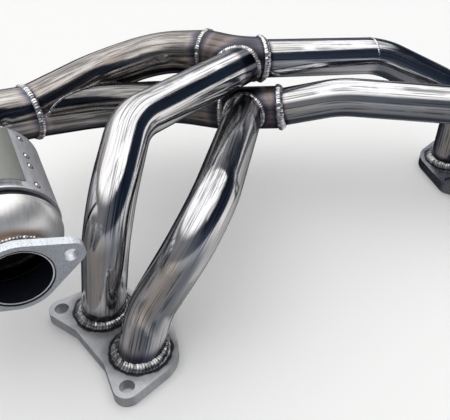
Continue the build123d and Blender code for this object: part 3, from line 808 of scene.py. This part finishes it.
def fibre_mat():
    """Ceramic fibre: crossing matted strands."""
    material, tree, shader = start_material("fibre", 0.0)
    shader.inputs["Roughness"].default_value = 0.95
    place = object_place(tree)
    strands = noise(tree, vector(tree, "MULTIPLY", place, (1.0, 6.0, 1.0)), 900.0, 5.0, 0.7, 1.2)
    colour = blend(tree, span(tree, strands, 0.35, 0.65), (0.42, 0.38, 0.31, 1),
                   (0.80, 0.77, 0.69, 1))
    finish_with(tree, shader, colour, height=strands, strength=0.8, depth=0.6 * MM)
    return material


def brick_ceramic():
    """Coated honeycomb: fine square channels on the end faces, a plain skin round the side.

    The channels' openings are painted near black: painted shade.
    """
    material, tree, shader = start_material("brick", 0.0)
    shader.inputs["Roughness"].default_value = 0.9
    place = object_place(tree)
    side = CAT_AXIS.cross(Vector((0, 0, 1))).normalized()
    rise = side.cross(CAT_AXIS)
    walls = 0.0
    for direction in (side, rise):
        folded = calc(tree, "PINGPONG", along_axis(tree, place, direction), CELL / 2)
        wall = span(tree, folded, 0.10 * CELL, 0.16 * CELL, 1.0, 0.0)
        walls = calc(tree, "MAXIMUM", wall, walls)
    grain = noise(tree, place, 700.0, 3.0)
    clay = blend(tree, grain, (0.30, 0.25, 0.19, 1), (0.46, 0.40, 0.32, 1))
    # painted shade: the channel openings between the walls are near black
    comb = blend(tree, walls, (0.012, 0.010, 0.008, 1), clay)
    colour = blend(tree, span(tree, facing(tree, CAT_AXIS), 0.6, 0.9), clay, comb)
    finish_with(tree, shader, colour, height=walls, strength=0.9, depth=0.8 * MM)
    return material


def turned_steel(name, centre, axis, tone):
    """Turned boss: fine rings round its axis."""
    material, tree, shader = start_material(name)
    offset = vector(tree, "SUBTRACT", object_place(tree), tuple(centre))
    reach = vector(tree, "LENGTH", offset, out=1)
    rings = put(tree, "CombineXYZ", {0: along_axis(tree, offset, axis), 1: reach}).outputs[0]
    marks = noise(tree, rings, 2600.0, 2.0)
    colour = blend(tree, span(tree, marks, 0.35, 0.65), tinted(tone, 0.7), tinted(tone))
    finish_with(tree, shader, colour, span(tree, marks, 0.3, 0.7, 0.18, 0.32), marks)
    return material


def dress(material, *names):
    for name in names:
        mesh = nodes[name].data
        mesh.materials.clear()
        mesh.materials.append(material)


# ---- finishes on the CAD nodes --------------------------------------------------------------
UP = (0.0, 0.0, 1.0)
STEEL = (0.66, 0.66, 0.68)
JUNCTION = (0.19, 0.165, 0.16)
SECONDARY = (0.50, 0.47, 0.455)
DARK_SECONDARY = (0.30, 0.295, 0.295)
ring_ur = ("ring", UPPER_RIGHT, RUNNER_R)
ring_lr = ("ring", LOWER_RIGHT, RUNNER_R)
ring_collector = ("plane", COLLECTOR, (1, 0, 0))
foot = ("level", PLATE + FOOT_HIGH + 2 * MM)
upper_axis = (ROUTES["upper"][0][1], UPPER_LEFT)
lower_axis = (LOWER_RIGHT, LOWER_LEFT)
branch_1 = tuple(ROUTES["runner_1"][0][2:])
branch_2 = tuple(ROUTES["runner_2"][0][2:])

dress(tube_steel("runner_1_steel", STEEL, 0.07, RUNNER_R,
                 [foot, ("tube", *upper_axis, TRUNK_R)]), "runner_1")
dress(tube_steel("runner_2_steel", STEEL, 0.09, RUNNER_R,
                 [foot, ("tube", *lower_axis, TRUNK_R)]), "runner_2")
dress(tube_steel("runner_3_steel", STEEL, 0.06, RUNNER_R, [ring_ur, foot], 7 * MM),
      "runner_3_inner")
dress(tube_steel("runner_3_outer_steel", (0.60, 0.61, 0.64), 0.07, RUNNER_R, [foot], 7 * MM),
      "runner_3_outer")
dress(tube_steel("runner_4_steel", STEEL, 0.06, RUNNER_R, [ring_lr, foot], 7 * MM), "runner_4")
dress(tube_steel("upper_junction_steel", JUNCTION, 0.34, TRUNK_R,
                 [("ring", UPPER_RIGHT, TRUNK_R), ("ring", UPPER_LEFT, TRUNK_R),
                  ("tube", *branch_1, RUNNER_R)], 12 * MM, 0.75, 0.5), "upper_junction")
dress(tube_steel("lower_junction_steel", JUNCTION, 0.34, TRUNK_R,
                 [("ring", LOWER_RIGHT, TRUNK_R), ("ring", LOWER_LEFT, TRUNK_R),
                  ("tube", *branch_2, RUNNER_R)], 12 * MM, 0.75, 0.5), "lower_junction")
# the secondary pipes get a low dim: painted reflection streaks in their colour
dress(tube_steel("secondary_1_steel", SECONDARY, 0.12, TRUNK_R,
                 [("ring", UPPER_LEFT, TRUNK_R), ring_collector], 16 * MM, 0.8, 0.5, dim=0.22),
      "secondary_pipe_1")
dress(tube_steel("secondary_2_steel", DARK_SECONDARY, 0.12, TRUNK_R,
                 [("ring", LOWER_LEFT, TRUNK_R), ring_collector], 16 * MM, 0.8, 0.5, dim=0.25),
      "secondary_pipe_2")
# low dim: painted reflection streaks in the elbow's colour
dress(tube_steel("elbow_steel", (0.62, 0.60, 0.58), 0.12, INLET_R, [ring_collector], 18 * MM,
                 0.9, 0.6, dim=0.25), "inlet_elbow")

RIVET_STATIONS = (-67.0, -44.6, -31.8, -8.2)    # along the converter from CAT_END
RIVET_TURN = 47.0               # degrees from the top of the shield to each row
RIVET_SEAT = 54.0               # from the converter's axis to the shield's face
RIVET_R = 2.5 * MM


# centres and radii of the rivet heads, for the painted shadow rims round them on the shield
def rivet_shadow_spots():
    across = Vector(UP).cross(CAT_AXIS).normalized()
    rise = CAT_AXIS.cross(across)
    shadow_spots = []
    for side in (1, -1):
        turn = math.radians(90 - side * RIVET_TURN)
        out = across * math.cos(turn) + rise * math.sin(turn)
        shadow_spots += [((CAT_END + CAT_AXIS * station + out * RIVET_SEAT) * MM, RIVET_R)
                  for station in RIVET_STATIONS]
    return shadow_spots


STRAW = (33.5 * MM, 50 * MM, 4 * MM, (0.50, 0.36, 0.28))         # heated steel round the neck
SHADED = (-0.4 * MM, 8 * MM, 0.6 * MM, (0.02, 0.02, 0.025))     # painted shade: dark band on the shell in the gap past the shield's end
dress(sheet_steel("shield_steel", (0.76, 0.76, 0.80), 0.44, shadow_spots=rivet_shadow_spots()),
      "heat_shield_upper", "heat_shield_lower")
dress(sheet_steel("cone_steel", (0.70, 0.69, 0.68), 0.26), "inlet_cone")
dress(sheet_steel("dome_steel", (0.86, 0.85, 0.84), 0.34, [STRAW], contrast=0.9), "outlet_cone")
dress(sheet_steel("shell_steel", (0.85, 0.85, 0.86), 0.16, [SHADED]), "converter_shell")
dress(sheet_steel("nameplate_foil", (0.27, 0.285, 0.26), 0.5, grain=0.4), "nameplate")
dress(turned_steel("rivet_steel", CAT_END * MM, CAT_AXIS, (0.74, 0.74, 0.76)), "shield_rivets")
for name, mount in (("sensor_boss_upstream", "sensor_upstream"),
                    ("sensor_boss_downstream", "sensor_downstream")):
    entry = next(item for item in frame["record"]["mounts"] if item["name"] == mount)
    dress(turned_steel(name + "_steel", entry["pos_m"], entry["axis"], (0.70, 0.70, 0.70)), name)
dress(pipe_steel(), "outlet_pipe")
dress(fibre_mat(), "support_mat")
dress(brick_ceramic(), "catalyst_brick")


def soften(name, width):
    """Narrow rounded edges that catch the light."""
    bevel = nodes[name].modifiers.new("edges", "BEVEL")
    bevel.width = width
    bevel.segments = 2
    bevel.limit_method = "ANGLE"
    bevel.angle_limit = math.radians(40)
    bevel.harden_normals = False


for name, width in (("head_flange_a", 0.6 * MM), ("head_flange_b", 0.6 * MM),
                    ("outlet_flange", 0.8 * MM), ("heat_shield_upper", 0.4 * MM),
                    ("nameplate", 0.2 * MM), ("sensor_boss_upstream", 0.5 * MM),
                    ("sensor_boss_downstream", 0.5 * MM)):
    soften(name, width)


def toe_rings(*runners):
    """A wide soft ring of painted shade round each runner's foot weld, and a burnt line close round
    it.
    """
    places = [(FEET[runner][0] * MM, FEET[runner][1] * MM, PLATE) for runner in runners]
    # painted shade on the plate round each runner's foot
    foot_shades = [(place, 20 * MM, FOOT_TOE, 13 * MM, 0.55) for place in places]
    return foot_shades + [(place, 20 * MM, FOOT_TOE + 1.4 * MM, 1.3 * MM, 1.0) for place in places]


dress(plate_steel("head_plate_a", (0.70, 0.71, 0.75), 0.42, UP,
                  toe_rings("runner_1", "runner_2")), "head_flange_a")
# head plate B is a darker copy of plate A's finish: painted shade and a painted dark reflection
dress(plate_steel("head_plate_b", (0.34, 0.36, 0.41), 0.20, UP,
                  toe_rings("runner_3", "runner_4"), metal=0.95), "head_flange_b")
# edge_tone 1.2 makes the outlet flange's edges lighter than its faces: a painted highlight
dress(plate_steel("outlet_plate", (0.66, 0.69, 0.74), 0.30, OUTLET_AXIS,
                  [(OUTLET * MM, 26 * MM, 29.6 * MM, 0.3 * MM, 1.0)], 1.2), "outlet_flange")
weld_steel("weld", (0.14, 0.135, 0.14), (0.95, 0.95, 0.95))
weld_steel("weld_dull", (0.10, 0.10, 0.11), (0.60, 0.59, 0.60))
weld_steel("weld_foot", (0.09, 0.09, 0.10), (0.62, 0.62, 0.63))
weld_steel("weld_bright", (0.40, 0.40, 0.42), (0.98, 0.98, 0.98))
weld_steel("weld_flat", (0.45, 0.45, 0.47), (0.90, 0.90, 0.90))


# ---- beads in place -----------------------------------------------------------------------
def bisector(route_a, route_b):
    """Direction through the joint where route a ends or starts and route b starts."""
    come = Vector(route_a[1]) - Vector(route_a[0])
    leave = Vector(route_b[1]) - Vector(route_b[0])
    return come.normalized() + leave.normalized()


def ring_weld(name, node, centre, normal, radius_a, radius_b, half_width, high, finish="weld",
              ripples=0.38):
    edges = ring_edges(centre, normal, radius_a, radius_b, half_width)
    piece = bead(name, *edges, high, finish=finish, ripples=ripples)
    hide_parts(node)


route = {name: corners for name, (corners, _) in ROUTES.items()}
# the runs of runners 3 and 4 that end at a junction, turned to lead into it
into_3 = route["runner_3"][1::-1]
into_4 = route["runner_4"][1::-1]
ring_weld("bead_upper_right", "weld_upper_right", UPPER_RIGHT,
          bisector(into_3, route["upper"]), RUNNER_R, TRUNK_R + 0.8 * MM,
          4.9 * MM, 3.0 * MM, "weld_bright", 0.24)
ring_weld("bead_lower_right", "weld_lower_right", LOWER_RIGHT,
          bisector(into_4, route["lower"]), RUNNER_R, TRUNK_R + 0.8 * MM,
          4.9 * MM, 3.0 * MM, "weld_bright", 0.24)
ring_weld("bead_upper_left", "weld_upper_left", UPPER_LEFT,
          bisector(route["upper"][1:], route["secondary_1"]), TRUNK_R, TRUNK_R, 3.5 * MM,
          2.2 * MM)
ring_weld("bead_lower_left", "weld_lower_left", LOWER_LEFT,
          bisector(route["lower"], route["secondary_2"]), TRUNK_R, TRUNK_R, 3.5 * MM, 2.2 * MM)
ring_weld("bead_elbow", "weld_elbow", CONE_START, CAT_AXIS, INLET_R, INLET_R + 1.8 * MM,
          2.6 * MM, 1.8 * MM)
ring_weld("bead_shell", "weld_shell", SHELL_START, CAT_AXIS, SHELL_R - 1.8 * MM, SHELL_R,
          2.6 * MM, 1.8 * MM)
ring_weld("bead_collector", "weld_collector", COLLECTOR, (-1, 0, 0), INLET_R + 1 * MM, INLET_R,
          4.0 * MM, 2.4 * MM)
ring_weld("bead_neck", "weld_neck", OUTLET - OUTLET_AXIS * 19.5, CAT_AXIS, OUTLET_R + 3 * MM,
          OUTLET_R, 3.0 * MM, 1.8 * MM)
ring_weld("bead_outlet", "weld_outlet_flange", OUTLET - OUTLET_AXIS * 9.8, OUTLET_AXIS, OUTLET_R,
          OUTLET_R + 2.4 * MM, 2.0 * MM, 1.6 * MM)

for branch, trunk, node in (("runner_1", "upper", "weld_branch_upper"),
                            ("runner_2", "lower", "weld_branch_lower")):
    edge_a, edge_b, out, _ = saddle_edges(branch, trunk, 3.3 * MM)
    piece = bead("bead_" + node[5:], edge_a, edge_b, out, 1.2 * MM)
    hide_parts(node)

for node, runners in (("weld_head_a", ("runner_1", "runner_2")),
                      ("weld_head_b", ("runner_3", "runner_4"))):
    rings = [bead(f"bead_{runner}_foot", *foot_edges(runner), 1.7 * MM, finish="weld_foot",
                  ripples=0.16)
             for runner in runners]
    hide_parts(node)

# the valley between the secondary pipes, open at the collector ring
edge_a, edge_b, out, meets = saddle_edges("secondary_2", "secondary_1", 1.9 * MM)
kept = meets & ((edge_a + edge_b)[:, 0] / 2 > (COLLECTOR[0] + 2.5) * MM)
start = int(np.flatnonzero(~kept)[-1]) + 1
order = np.roll(np.arange(AROUND), -start)
order = order[kept[order]]
piece = bead("bead_valley", edge_a[order], edge_b[order], out[order], 0.9 * MM, closed=False,
             finish="weld_dull")
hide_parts("weld_valley")
ring_weld("bead_seam", "weld_runner_3_seam", RUNNER_3_SEAM,
          Vector(route["runner_3"][1]) - Vector(UPPER_RIGHT), RUNNER_R, RUNNER_R, 1.5 * MM,
          0.6 * MM, "weld_flat")
